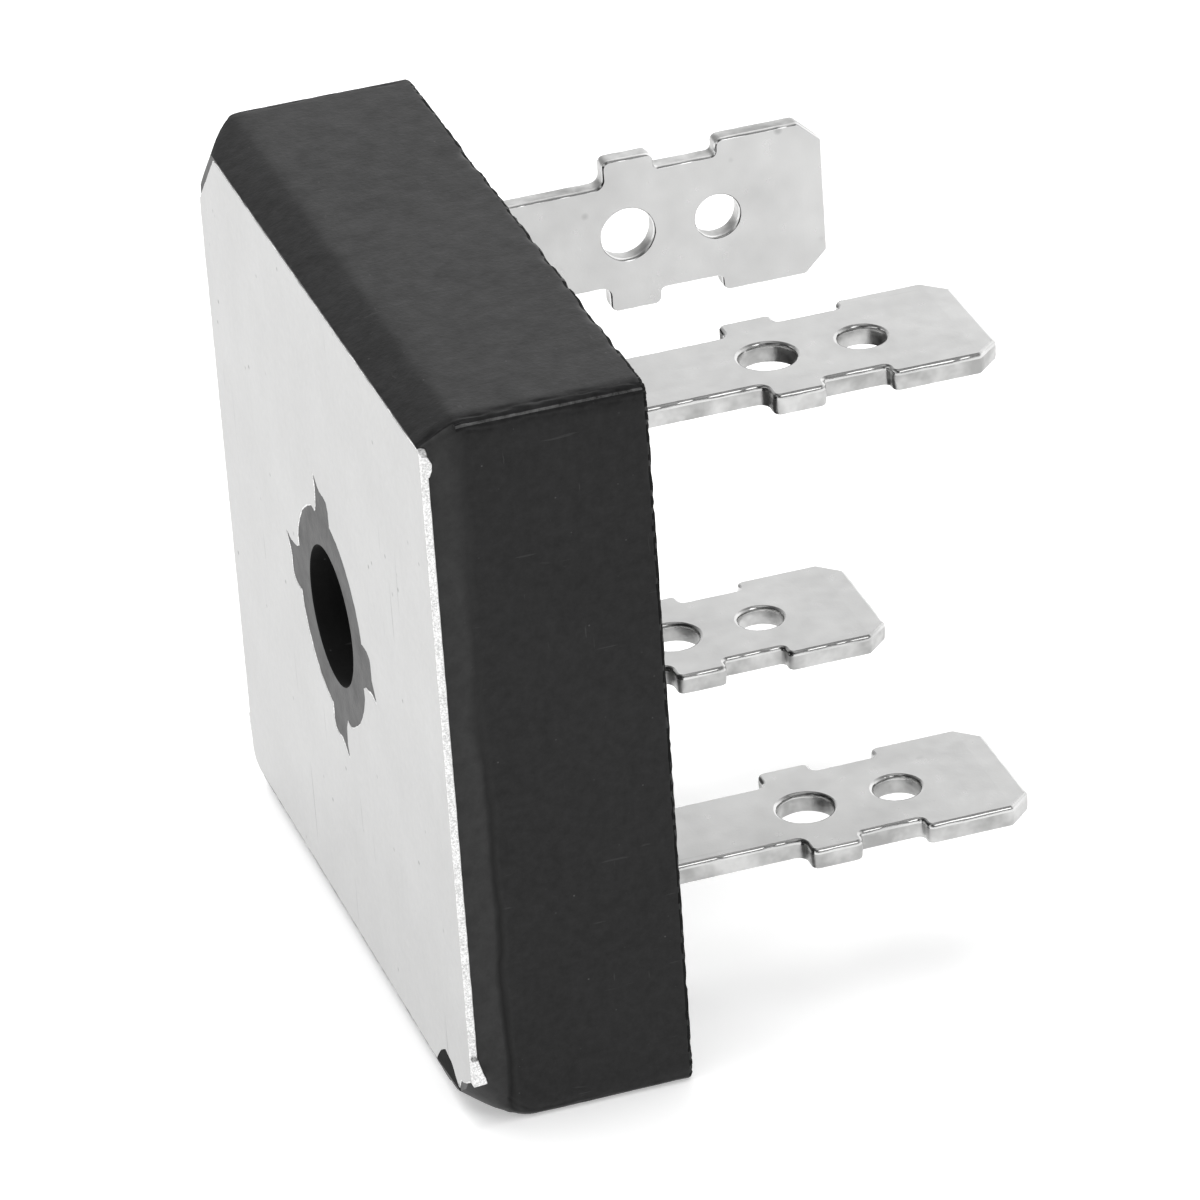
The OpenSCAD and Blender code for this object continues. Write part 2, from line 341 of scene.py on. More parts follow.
def addBand(tree, place, shade, rough):
    look = bandLook
    split = addNode(tree, "SeparateXYZ")
    tree.links.new(place, split.inputs["Vector"])
    drift = remap(tree, noiseAt(tree, place, 220, 3), 0.3, 0.7, -look["drift"], look["drift"])
    height = calculate(tree, "ADD", split.outputs["X"], drift)
    band = remap(tree, height, look["gone"], look["full"], 0, 1)
    # Painted shade: a dark line mixed into the colour at the crease height, stronger lower down
    offset = calculate(tree, "ABSOLUTE", calculate(tree, "SUBTRACT", height, look["paintedCreaseHeight"]), 0)
    # The painted crease shade fades towards the top of the wall
    lower = remap(tree, split.outputs["Z"], look["paintedCreaseFrom"], look["paintedCreaseFull"], 0, 1)
    crease = calculate(tree, "MULTIPLY", remap(tree, offset, look["paintedCreaseWidth"], 0, 0, 1), lower)
    mottle = remap(tree, noiseAt(tree, place, 1600, 5, 0.7), 0.35, 0.65, 0.6, 1)
    shade = mixColours(tree, calculate(tree, "MULTIPLY", band, mottle), shade, look["shade"])
    # The painted crease shade goes into the colour
    shade = mixColours(tree, crease, shade, look["paintedCreaseShade"])
    return shade, calculate(tree, "ADD", rough, calculate(tree, "MULTIPLY", band, look["rough"]))


def makePlastic(name, finish, banded=False):
    look = plasticLook
    roughness = finish["roughness"]
    material, tree, shader = newMaterial(name, finish["dark"], 0, roughness, finish["specular"])
    place = objectPlace(tree)
    cloud = noiseAt(tree, place, 180, 5)
    mottle = noiseAt(tree, place, 2200, 6, 0.7)
    coarse = noiseAt(tree, place, 900, 4)
    grain = noiseAt(tree, place, 5200, 3)
    dust = patchySpecks(tree, place, *look["dust"])
    grit = patchySpecks(tree, place, *look["grit"])
    along = remap(tree, drawnOut(tree, (400, 3600, 3600), (0.2, 0.5, 0.15)), 0.71, 0.75, 0, look["scratches"])
    across = remap(tree, drawnOut(tree, (4200, 800, 600), (0.9, 0.7, 0.5)), 0.73, 0.77, 0, look["scratches"])
    scratches = calculate(tree, "MAXIMUM", along, across)
    marks = calculate(tree, "MAXIMUM", calculate(tree, "MAXIMUM", dust, grit), scratches)
    uneven = remap(tree, weighted(tree, mottle, cloud, 0.3), 0.38, 0.64, 0, 1)
    shade = mixColours(tree, uneven, finish["dark"], finish["pale"])
    shade = mixColours(tree, marks, shade, look["marks"])
    rough = calculate(tree, "ADD", remap(tree, coarse, 0.3, 0.7, -0.04, 0.05), roughness)
    rough = calculate(tree, "ADD", rough, calculate(tree, "MULTIPLY", marks, 0.3))
    if banded:
        shade, rough = addBand(tree, place, shade, rough)
    tree.links.new(shade, shader.inputs["Base Color"])
    tree.links.new(rough, shader.inputs["Roughness"])
    normal = addBump(tree, shader, grain, 0.00004, look["texture"])
    normal = addBump(tree, shader, coarse, 0.00006, 0.04, normal)
    addBump(tree, shader, marks, 0.00002, 0.2, normal)
    return material


plateLook = {
    "dark": (0.465, 0.465, 0.462),
    "pale": (0.55, 0.55, 0.547),
    "marks": grey(0.2),
    "roughness": 0.36,
    "scratches": 0.5,
    "pits": ((900, 0.1), (260, 0.5, 0.58, 0.9))}


def makePlateMetal():
    look = plateLook
    material, tree, shader = newMaterial("plateMetal", look["pale"], 1, look["roughness"])
    place = objectPlace(tree)
    rolled = drawnOut(tree, (400, 22, 1500), detail=5)
    cloud = noiseAt(tree, place, 260, 4)
    grain = noiseAt(tree, place, 3200, 5, 0.75)
    scratches = remap(tree, drawnOut(tree, (400, 3000, 110), (0.5, 0, 0)), 0.7, 0.74, 0, look["scratches"])
    marks = calculate(tree, "MAXIMUM", scratches, patchySpecks(tree, place, *look["pits"]))
    uneven = remap(tree, weighted(tree, grain, cloud, 0.35), 0.34, 0.66, 0, 1)
    shade = mixColours(tree, uneven, look["dark"], look["pale"])
    shade = mixColours(tree, marks, shade, look["marks"])
    tree.links.new(shade, shader.inputs["Base Color"])
    rough = calculate(tree, "ADD", remap(tree, grain, 0.3, 0.7, -0.02, 0.03), look["roughness"])
    tree.links.new(rough, shader.inputs["Roughness"])
    normal = addBump(tree, shader, rolled, 0.00003, 0.008)
    normal = addBump(tree, shader, grain, 0.00001, 0.12, normal)
    addBump(tree, shader, marks, 0.00002, 0.3, normal)
    return material


# Coined and sheared rim of the plate: bright and grainy
rimLook = {"dark": (0.6, 0.6, 0.596), "pale": (0.95, 0.95, 0.945), "smoothest": 0.34, "roughest": 0.55}


def makeRimMetal():
    look = rimLook
    material, tree, shader = newMaterial("rimMetal", look["pale"], 1, look["roughest"])
    place = objectPlace(tree)
    grain = noiseAt(tree, place, 14000, 3, 0.7)
    patches = noiseAt(tree, place, 1700, 3)
    shade = mixColours(tree, remap(tree, grain, 0.4, 0.6, 0, 1), look["dark"], look["pale"])
    tree.links.new(shade, shader.inputs["Base Color"])
    rough = remap(tree, patches, 0.3, 0.7, look["smoothest"], look["roughest"])
    tree.links.new(rough, shader.inputs["Roughness"])
    normal = addBump(tree, shader, patches, 0.00006, 0.35)
    addBump(tree, shader, grain, 0.00003, 0.5, normal)
    return material


tinLook = {
    "dark": (0.5, 0.5, 0.497),
    "pale": (0.57, 0.57, 0.566),
    "marks": grey(0.33),
    "roughness": 0.3,
    "waves": 0.08,
    "scratches": 0.25,
    "stains": ((480, 0.1), (260, 0.54, 0.62, 0.7))}

edgeTinLook = {"dark": (0.5, 0.5, 0.497), "pale": (0.72, 0.72, 0.715), "roughness": 0.2}


def makeTin(name, finish):
    look = tinLook
    material, tree, shader = newMaterial(name, finish["dark"], 1, finish["roughness"])
    place = objectPlace(tree)
    waves = noiseAt(tree, place, 420, 2)
    ripple = noiseAt(tree, place, 1500, 3)
    grain = noiseAt(tree, place, 9000, 2)
    stains = patchySpecks(tree, place, *look["stains"])
    drag = drawnOut(tree, (60, 2200, 2200), detail=3)
    marks = calculate(tree, "MAXIMUM", stains, remap(tree, drag, 0.68, 0.74, 0, look["scratches"]))
    shade = mixColours(tree, remap(tree, waves, 0.3, 0.7, 0, 1), finish["dark"], finish["pale"])
    shade = mixColours(tree, marks, shade, look["marks"])
    tree.links.new(shade, shader.inputs["Base Color"])
    rough = calculate(tree, "ADD", remap(tree, ripple, 0.3, 0.7, -0.03, 0.04), finish["roughness"])
    tree.links.new(rough, shader.inputs["Roughness"])
    normal = addBump(tree, shader, waves, 0.00012, look["waves"])
    normal = addBump(tree, shader, ripple, 0.00004, 0.1, normal)
    addBump(tree, shader, grain, 0.00001, 0.3, normal)
    return material


# Cut edge of the blades' sheet: smeared near the face, torn and dull further in
shearLook = {"dark": (0.36, 0.36, 0.356), "pale": (0.6, 0.6, 0.595), "smoothest": 0.28, "roughest": 0.45}


def makeSheared():
    look = shearLook
    material, tree, shader = newMaterial("shearedEdge", look["dark"], 1, look["roughest"])
    place = objectPlace(tree)
    tears = noiseAt(tree, place, 2600, 5, 0.7)
    patches = noiseAt(tree, place, 700, 3)
    shade = mixColours(tree, remap(tree, patches, 0.35, 0.65, 0, 1), look["dark"], look["pale"])
    tree.links.new(shade, shader.inputs["Base Color"])
    rough = remap(tree, tears, 0.3, 0.7, look["smoothest"], look["roughest"])
    tree.links.new(rough, shader.inputs["Roughness"])
    normal = addBump(tree, shader, patches, 0.00008, 0.4)
    addBump(tree, shader, tears, 0.00003, 0.5, normal)
    return material


# Name, colour, metallic and roughness of each hidden kind of piece
innerLook = {
    "insulating_layer": ("creamFilm", (0.62, 0.58, 0.44), 0, 0.55),
    "diode_chip": ("silicon", (0.1, 0.11, 0.14), 0.3, 0.25),
    "jumper_clip": ("clipCopper", (0.72, 0.42, 0.26), 1, 0.35),
    "solder": ("softSolder", (0.55, 0.56, 0.58), 1, 0.42)}


def makeInner(name, colour, metallic, roughness):
    material, tree, shader = newMaterial(name, colour, metallic, roughness)
    mottle = noiseAt(tree, objectPlace(tree), 1500, 4)
    darker = tuple(channel * 0.8 for channel in colour)
    tree.links.new(mixColours(tree, mottle, darker, colour), shader.inputs["Base Color"])
    rough = remap(tree, mottle, 0.3, 0.7, roughness - 0.06, roughness + 0.08)
    tree.links.new(rough, shader.inputs["Roughness"])
    addBump(tree, shader, mottle, 0.00003, 0.3)
    return material


plastic = makePlastic("blackPlastic", plasticLook)
bandedPlastic = makePlastic("bandedPlastic", plasticLook, banded=True)
# Pale plastic for the painted highlight along the rounded edge
wornPlastic = makePlastic("wornPlastic", paintedHighlightLook)
smoothPlastic = makePlastic("smoothPlastic", smoothLook)
holePlastic = makePlastic("holePlastic", holeLook)
plateMetal = makePlateMetal()
rimMetal = makeRimMetal()
tin = makeTin("tinnedMetal", tinLook)
edgeTin = makeTin("tinnedEdge", edgeTinLook)
sheared = makeSheared()


print("moulding")

# Millimetres; the radii of the four corners stand in the order of cornerSigns
moulding = {
    "bevelRise": 1.5,
    "bevelIn": 0.6,
    "bevelBend": 0.13,
    "baseCorners": (1.2, 0.25, 0.1, 3),
    "uprightCorners": (0.2, 0.25, 0.42, 0.3),
    "keyCut": 2.2,
    "rimChamfer": 0.1,
    "flareUpper": 0.12,
    "flareLower": 0.3,
    "holeRadius": 2.65,
    "proud": 0.03,
    "markRadius": 1.2,
    "markDepth": 0.15,
    "markFloorRadius": 1.17,
    "markPlaces": ((9.2, 0), (0, 9), (-9.2, 0), (0, -9)),
    "easing": 0.035,
    "wear": 0.015,
    "nicks": 0.128,
    "crumble": 0.12,
    "crease": 0.05,
    "burr": 0.06,
    "levelInset": 0.17}

# Chips along the upper terminal edge: (y, half width, depth) in millimetres
edgeChips = [
    (6.6, 0.4, 0.24), (5.5, 0.25, 0.14), (3.8, 0.2, 0.1), (1.2, 0.2, 0.1), (-1.2, 0.25, 0.12),
    (-3.1, 0.35, 0.2), (-5.4, 0.2, 0.12), (-7.3, 0.3, 0.18), (-8.3, 0.35, 0.24), (-10.6, 0.25, 0.14)]

# Which way each corner lies along y and z
cornerSigns = [(1, -1), (1, 1), (-1, 1), (-1, -1)]

mouldingMaterials = [plastic, wornPlastic, smoothPlastic, holePlastic, bandedPlastic]
plainIndex, paintedHighlightIndex, smoothIndex, holeIndex, bandedIndex = range(5)

caseTop, halfY, halfZ = (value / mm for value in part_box("case_moulding")[1])


def smoothStep(low, high, value):
    t = min(1, max(0, (value - low) / (high - low)))
    return t * t * (3 - 2 * t)


def sideSteps(length, first=0.05, closeReach=1.1, spacing=0.24):
    # Shares along one wall, close together near its corners
    near = [first]
    while near[-1] < closeReach:
        near.append(near[-1] + first + first * near[-1])
    middle = length - 2 * near[-1]
    count = round(middle / spacing)
    steps = list(near)
    for i in range(1, count):
        steps.append(near[-1] + middle * i / count)
    steps.extend(length - d for d in reversed(near))
    return [d / length for d in steps]


sideTables = [sideSteps(2 * halfZ), sideSteps(2 * halfY)]


def cornerArc(index, y, z, radius, cut, keyShare, steps=12):
    # One corner of the outline: round, or cut straight where the positive terminal is
    signY, signZ = cornerSigns[index]
    middle = Vector((signY * (y - radius), signZ * (z - radius)))
    diagonal = Vector((0.707, 0.707))
    arc = []
    for k in range(steps + 1):
        angle = math.radians(90 * (index - 1) + 90 * k / steps)
        outward = Vector((math.cos(angle), math.sin(angle)))
        spot = middle + outward * radius
        if signY > 0 and signZ > 0:
            straight = Vector((y, z - cut)).lerp(Vector((y - cut, z)), k / steps)
            spot = spot.lerp(straight, keyShare)
            outward = outward.lerp(diagonal, keyShare)
        arc.append((spot, outward, 0))
    return arc


def wallOutline(up):
    # Outline at one height above the heat-sink face: (place, outward, distance from the corner)
    rise = moulding["bevelRise"]
    bend = moulding["bevelBend"]
    sharpest = moulding["uprightCorners"][1]
    left = 1 - min(1, up / rise)
    chamfer = max(0, moulding["rimChamfer"] - (caseTop - up))
    y = halfY - chamfer
    # The bevel runs into the wall through a soft bend
    z = halfZ - moulding["bevelIn"] * bend / rise * math.log(1 + math.exp((rise - up) / bend)) - chamfer
    cut = sharpest + (moulding["keyCut"] - sharpest) * left ** 1.6
    arcs = []
    for i, (base, upright) in enumerate(zip(moulding["baseCorners"], moulding["uprightCorners"])):
        fading = 1 - min(1, up / (rise + 0.3 * base))
        radius = upright + (base - upright) * fading ** 1.5
        # The near wall flares out to the wider plate, more so lower down
        signY, signZ = cornerSigns[i]
        flare = 0
        if signY < 0:
            flare = moulding["flareUpper"] if signZ > 0 else moulding["flareLower"]
        arcs.append(cornerArc(i, y + flare * left, z, radius, cut, smoothStep(0, 0.3, left)))
    points = []
    for i in range(4):
        points.extend(arcs[i])
        start, outward, near = arcs[i][-1]
        end = arcs[(i + 1) % 4][0][0]
        facing = Vector((end.y - start.y, start.x - end.x)).normalized()
        length = (end - start).length
        for share in sideTables[i % 2]:
            points.append((start.lerp(end, share), facing, near + min(share, 1 - share) * length))
    return points


def chipAt(place, edgeDistance):
    if place.z < halfZ - 0.5 or edgeDistance > 0.5:
        return 0
    fade = math.exp(-(edgeDistance / 0.2) ** 2)
    return fade * sum(depth * math.exp(-((place.y - y) / width) ** 2) for y, width, depth in edgeChips)


# Sizes of the nicks: (share, noise scale)
nickWaves = ((0.8, 2.6), (0.7, 7.3), (0.5, 15))


def nickAt(place, edgeDistance, reach=0.16):
    # Small chips and flash marks that only bite close to an edge
    fade = math.exp(-(edgeDistance / reach) ** 2)
    if fade < 0.01:
        return 0
    rough = sum(share * noise.noise(place * scale) for share, scale in nickWaves)
    bite = max(0, rough - 0.1) * moulding["nicks"]
    return fade * (bite + 0.012 * (1 + noise.noise(place * 9)))


def wallInset(up, spot, outward, near):
    # How far one point of the wall lies inside the clean outline
    place = Vector((up, spot.x, spot.y))
    wave = moulding["wear"] * 0.5 * (1 + noise.noise(place * 0.35))
    easing = 0
    if spot.x < 0:
        uneven = 1 + 0.35 * noise.noise(Vector((up * 1.6, spot.x * 0.3, spot.y * 0.3)))
        easing = moulding["easing"] * uneven * max(0, 1 - near / 0.5) ** 2
    bite = nickAt(place, caseTop - up) + 0.5 * nickAt(place + Vector((9, 0, 0)), near)
    bite += chipAt(place, caseTop - up)
    if up < 0.3:
        bite += 0.5 * nickAt(place, up)
    aboveBevel = up - moulding["bevelRise"]
    if abs(aboveBevel) < 0.06 and outward.x < -0.9:
        bite += moulding["crease"] * (0.5 - 0.5 * spot.y / halfZ)
    if abs(aboveBevel - 0.15) < 0.16 and outward.x < -0.5 and outward.y > 0.5:
        bite -= moulding["burr"]
    return easing + wave + bite


def wallMaterial(up, spot, outward, near):
    crumble = noise.noise(Vector((spot.x * 5, spot.y * 5, up * 9)))
    if up > caseTop - moulding["crumble"] and crumble > -0.25:
        return holeIndex
    # Painted highlight: thin pale line along the rounded near upper edge
    if up > moulding["bevelRise"] and near < 0.01 and abs(outward.x + 0.71) < 0.1 and outward.y > 0:
        return paintedHighlightIndex
    if outward.x < -0.3 and (outward.y < 0.3 or up <= moulding["bevelRise"]):
        return bandedIndex
    return plainIndex


def wallHeights():
    # Closest together round the bevel's bend and at the nicked edge
    heights = [moulding["proud"], 0.1, 0.25, 0.5, 0.8, 1.1, 1.35, 1.45, 1.5, 1.55, 1.65, 1.8, 2, 2.2]
    while heights[-1] < caseTop - 1.2:
        heights.append(heights[-1] + 0.24)
    fromTop = (0.9, 0.7, 0.55, 0.42, 0.32, 0.25, 0.2, 0.15, 0.08, 0.03, 0)
    heights.extend(caseTop - down for down in fromTop)
    return heights


def addWalls(bm):
    # Returns the lowest ring and the one where the terminal face begins
    rings = []
    for up in wallHeights():
        outline = wallOutline(up)
        ring = []
        for spot, outward, near in outline:
            moved = spot - outward * wallInset(up, spot, outward, near)
            height = up
            if up > caseTop - 0.2:
                place = Vector((up, spot.x, spot.y))
                height -= 0.6 * nickAt(place + Vector((0, 4, 0)), 0) + 0.7 * chipAt(place, caseTop - up)
            ring.append(bm.verts.new((height * mm, moved.x * mm, moved.y * mm)))
        if rings:
            for face, (spot, outward, near) in zip(ringFaces(bm, rings[-1], ring), outline):
                face.material_index = wallMaterial(up, spot, outward, near)
        rings.append(ring)
    # Beside the nicked edge the terminal face is level again
    inset = moulding["levelInset"]
    inner = [(spot.x - outward.x * inset, spot.y - outward.y * inset)
             for spot, outward, near in wallOutline(caseTop)]
    level = addRing(bm, caseTop, inner)
    ringFaces(bm, rings[-1], level)
    return rings[0], level


def addScrewHole(bm):
    # Small lead-in at the plate's end, larger one at the terminals' end
    proud = moulding["proud"]
    levels = (
        (proud, 0.06), (proud + 0.06, 0), (caseTop / 2, 0), (caseTop - 0.1, 0), (caseTop, 0.1))
    rings = []
    for up, grow in levels:
        ring = addRing(bm, up, circlePoints(0, 0, moulding["holeRadius"] + grow, 96))
        if rings:
            for face in ringFaces(bm, rings[-1], ring):
                face.material_index = holeIndex
        rings.append(ring)
    return rings[0], rings[-1]


def addEjectorMarks(bm):
    depth = caseTop - moulding["markDepth"]
    rims = []
    for y, z in moulding["markPlaces"]:
        rim = addRing(bm, caseTop, circlePoints(y, z, moulding["markRadius"], 48))
        floor = addRing(bm, depth, circlePoints(y, z, moulding["markFloorRadius"], 48))
        ringFaces(bm, rim, floor)
        fillRegion(bm, [floor])
        rims.append(rim)
    return rims


def buildMoulding():
    bm = bmesh.new()
    base, level = addWalls(bm)
    holeBase, holeTop = addScrewHole(bm)
    rims = addEjectorMarks(bm)
    for face in fillRegion(bm, [base, holeBase]):
        face.material_index = smoothIndex
    fillRegion(bm, [level, holeTop, *rims])
    piece = finishMesh(bm, "mouldedBody", mouldingMaterials, 50)
    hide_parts("case_moulding")


buildMoulding()


print("plate")

# Millimetres, seen from the heat-sink face as (y, z)
plate = {
    "rim": 0.3,
    "halfWidth": 14.44,
    "gap": 0.02,
    "keyCut": 2.8,
    "keyRound": 0.6,
    "farRound": 0.9,
    "nearRound": 0.25,
    "openingRadius": 4.15,
    "notchWidth": 1.65,
    "notchReach": 5.1,
    "wobble": 0.065,
    "seed": 3.7}

# Lower near corner, cut off and bitten: (y, z, radius) in millimetres
bittenCorner = [
    (-14.2, -12.16, 0.1), (-13.5, -12.62, 0.1), (-13, -12.82, 0.05), (-12.62, -13.3, 0.05),
    (-12.15, -13, 0.1), (-11.8, -12.68, 0.2), (-11.1, -12.55, 0.2), (-10.4, -13, 0.2)]

# Skin of moulding compound over the bite: (y, z) round it and its heights, in millimetres
flash = {
    "corners": [(-12.7, -13.35), (-12.15, -12.9), (-11.8, -12.6), (-11.1, -12.47), (-10.3, -12.9),
                (-9.7, -13.6)],
    "heights": (0.012, 0.2)}

# Stubs of the carrying strip, in millimetres; each outline is its side, then (height, z) round it
stubs = {
    "inner": 13.9,
    "outer": 14.62,
    "smear": 0.04,
    "outlines": [
        (-1, [(0.02, -12.12), (0.55, -12.08), (0.5, -11.8), (0.33, -11.45), (0.28, -11), (0.02, -11)]),
        (-1, [(0.02, 13.6), (0.26, 13.5), (0.4, 13.2), (0.38, 12.95), (0.28, 12.7), (0.02, 12.7)]),
        (1, [(0.02, -12.4), (0.4, -12.38), (0.4, -11.6), (0.02, -11.6)])]}


def notchOutline():
    # One notch of the opening, torn into a point at one of its corners
    r = plate["openingRadius"]
    w = plate["notchWidth"] / 2
    reach = plate["notchReach"]
    mouth = math.sqrt(r * r - w * w)
    return [
        (mouth, -w), (reach - 0.35, -w), (reach - 0.08, -w + 0.14), (reach, -w + 0.5), (reach - 0.03, 0.1),
        (reach + 0.1, w - 0.45), (reach + 0.42, w + 0.02), (reach - 0.1, w - 0.12), (reach - 0.5, w - 0.06),
        (mouth + 0.12, w), (r - 0.32, w + 0.22)]


def openingLoop():
    # Round opening with four notches, each the mirror image of the next
    r = plate["openingRadius"]
    halfMouth = math.asin(plate["notchWidth"] / 2 / r)
    points = []
    for quarter in range(4):
        side = 1 if quarter % 2 == 0 else -1
        margin = 0.09 if side > 0 else 0.02
        corners = [Vector((x, side * y)) for x, y in notchOutline()]
        if side < 0:
            corners.reverse()
        start = halfMouth + margin
        end = math.pi / 2 - halfMouth - margin
        for k in range(1, 12):
            angle = start + (end - start) * k / 12
            corners.append(Vector((r * math.cos(angle), r * math.sin(angle))))
        turn = Matrix.Rotation(math.pi / 2 * quarter, 2)
        points.extend(turn @ p for p in corners)
    return points


def plateOutline():
    # One corner is cut for polarity
    halfA = plate["halfWidth"]
    halfB = halfZ - moulding["bevelIn"] - plate["gap"]
    cut = plate["keyCut"]
    keyRound = plate["keyRound"]
    return [
        (-halfA, -12.05, 0.05), *bittenCorner, (-9.8, -halfB, 0.1), (halfA, -halfB, plate["farRound"]),
        (halfA, halfB - cut, keyRound), (halfA - cut, halfB, keyRound), (-halfA, halfB, plate["nearRound"])]


def buildPlate():
    outline = denser(roundCorners(plateOutline(), 12), 0.22)
    opening = denser(openingLoop(), 0.16)
    profile = [(0.1, 0), (0.05, 0.03), (0.015, 0.1), (0, 0.25), (0, 0.6), (0.01, 0.92), (0.03, 1)]
    edgeLevels = [0, 0, 1, 1, 1, 1, 0]
    bm = sheetMesh([outline, opening], plate["rim"], profile, plate["wobble"], plate["seed"], edgeLevels)
    # Local (x, y, z) becomes (z, x, y) of the standing part
    bm.transform(Matrix(((0, 0, 1, 0), (1, 0, 0, 0), (0, 1, 0, 0), (0, 0, 0, 1))))
    piece = finishMesh(bm, "heatSinkPlate", [plateMetal, rimMetal], 40)
    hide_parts("heatsink_plate")


def buildFlash():
    bm = bmesh.new()
    lower, upper = (addRing(bm, height, flash["corners"]) for height in flash["heights"])
    ringFaces(bm, lower, upper)
    bm.faces.new(lower)
    bm.faces.new(upper)
    finishMesh(bm, "mouldFlash", [holePlastic], 30)


def buildTieStubs():
    # At the plain corners, smeared where they were cut off
    bm = bmesh.new()
    for side, corners in stubs["outlines"]:
        rings = []
        for y in (side * stubs["inner"], side * stubs["outer"]):
            rings.append([bm.verts.new((up * mm, y * mm, z * mm)) for up, z in corners])
        ringFaces(bm, *rings)
        for ring in rings:
            bm.faces.new(ring)
    bmesh.ops.bevel(bm, geom=list(bm.edges), offset=stubs["smear"] * mm, segments=2,
                    affect="EDGES", profile=0.5)
    finishMesh(bm, "tieStubs", [rimMetal], 50)


buildPlate()
buildFlash()
buildTieStubs()


print("terminals")

# Millimetres; the lengths with From are measured back from the tip
blade = {
    "thickness": 0.8,
    "stemWidth": 4.2,
    "lugWidth": 6.3,
    "lugFrom": 6.7,
    "lugLength": 2.05,
    "neckWidth": 5.05,
    "headWidth": 6.35,
    "headFrom": 4.25,
    "tipWidth": 4.65,
    "tipFrom": 0.9,
    "leadIn": 0.05,
    "detentWidth": 1.76,
    "detentFrom": 4.3,
    "wireWidth": 2.1,
    "wireFrom": 7.9,
    "burr": 0.03,
    "wobble": 0.02}

# Node: name, noise seed, middle of the sheet as (y, z), direction of its width, side that faces out,
# and how far the punch rolled that side's edge over
blades = {
    "terminal_positive": ("bladePositive", 1.3, (9.5, 8.4), (0, 0, 1), (0, -1, 0), 0.05),
    "terminal_ac_1": ("bladeAcOne", 4.1, (-7.1, 10.3), (0, 1, 0), (0, 0, 1), 0.13),
    "terminal_ac_2": ("bladeAcTwo", 6.9, (6.9, -8.3), (0, 1, 0), (0, 0, 1), 0.13),
    "terminal_negative": ("bladeNegative", 9.2, (-8.4, -7.8), (0, 1, 0), (0, 0, 1), 0.13)}

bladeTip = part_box("terminal_positive")[1][0] / mm


def bladeLoops():
    root = caseTop - 1
    head = bladeTip - blade["headFrom"]
    shoulder = bladeTip - blade["tipFrom"]
    lugTop = bladeTip - blade["lugFrom"]
    lugLow = lugTop - blade["lugLength"]
    stem, lug, neck, wide, narrow = (
        blade[key] / 2 for key in ("stemWidth", "lugWidth", "neckWidth", "headWidth", "tipWidth"))
    half = [
        (stem, root, 0), (stem, lugLow, 0.35), (lug, lugLow, 0.3), (lug, lugTop, 0.3), (neck, lugTop, 0.2),
        (neck, head, 0.2), (wide, head, 0.3), (wide, shoulder, 0.25), (narrow, bladeTip, 0.1)]
    mirrored = [(-x, y, r) for x, y, r in reversed(half)]
    outline = denser(roundCorners(half + mirrored, 6), 0.2)
    detent = circlePoints(0, bladeTip - blade["detentFrom"], blade["detentWidth"] / 2, 40)
    wire = circlePoints(0, bladeTip - blade["wireFrom"], blade["wireWidth"] / 2, 48)
    return [outline, detent, wire]


def edgeProfile(rollover):
    # Rolled over at the front, straight in the middle, torn back a little at the rear
    burr = blade["burr"]
    return [
        (rollover, 0), (rollover * 0.62, 0.02), (rollover * 0.28, 0.06), (rollover * 0.06, 0.13),
        (0, 0.24), (0, 0.5), (0.012, 0.8), (burr, 0.97), (burr + 0.02, 1)]


def taperTip(bm):
    # The tip is thinner, as a lead-in for the socket
    half = blade["thickness"] / 2 * mm
    length = blade["tipFrom"] * mm
    crease = bladeTip * mm - length
    geometry = list(bm.verts) + list(bm.edges) + list(bm.faces)
    bmesh.ops.bisect_plane(bm, geom=geometry, dist=1e-7, plane_co=(0, crease, 0), plane_no=(0, 1, 0))
    for vert in bm.verts:
        if vert.co.y > crease:
            slim = 1 - blade["leadIn"] * (vert.co.y - crease) / length
            vert.co.z = (vert.co.z - half) * slim + half


def buildBlade(node, name, seed, place, across, front, rollover):
    thickness = blade["thickness"]
    edgeLevels = [0, 2, 2, 2, 2, 1, 1, 1, 1]
    bm = sheetMesh(bladeLoops(), thickness, edgeProfile(rollover), blade["wobble"], seed, edgeLevels)
    taperTip(bm)
    right = Vector(across)
    normal = Vector(front)
    # Local x runs across, local y along +X, local z from the front face backwards
    turn = Matrix((
        (right.x, 1, -normal.x, 0), (right.y, 0, -normal.y, 0), (right.z, 0, -normal.z, 0), (0, 0, 0, 1)))
    origin = Vector((0, *place)) * mm + normal * (thickness / 2 * mm)
    bm.transform(Matrix.Translation(origin) @ turn)
    piece = finishMesh(bm, name, [tin, sheared, edgeTin], 28)
    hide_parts(node)


for node, details in blades.items():
    buildBlade(node, *details)


print("inner pieces")

# The hidden pieces keep their shapes
innerMaterials = {key: makeInner(*values) for key, values in innerLook.items()}
for shown in list(bpy.data.objects):
    for key, material in innerMaterials.items():
        if shown.type == "MESH" and key in shown.name:
            shown.data.materials.clear()
            shown.data.materials.append(material)


print("stage")

# Seen straight on, the floor keeps the object's shadow; mirrored in metal it is more even
floorLook = {
    "size": 1.6,
    "colour": grey(0.8),
    "glow": 0.38,
    "mirroredColour": grey(0.32),
    "mirroredGlow": 0.85}

# Brightness of the room towards each side, as (from, to, at from, at to) along one direction
roomLook = {
    "depth": (-0.7, 0.3, 0.3, 1.3),
    "side": (-0.35, 0.35, 0.3, 1.1),
    "height": (0.52, 0.85, 1, 0.22),
    "leftFill": (-0.55, -0.85, 0, 0.7),
    "topFill": (0.93, 0.99, 0, 0.5),
    "boxToward": (0.25, -0.68, 0.69),
    "boxGlow": (0.955, 0.985, 0, 2.3)}

panelLook = {"place": (-0.1, 0.2, 0.9), "size": 1.2, "power": 12.5}

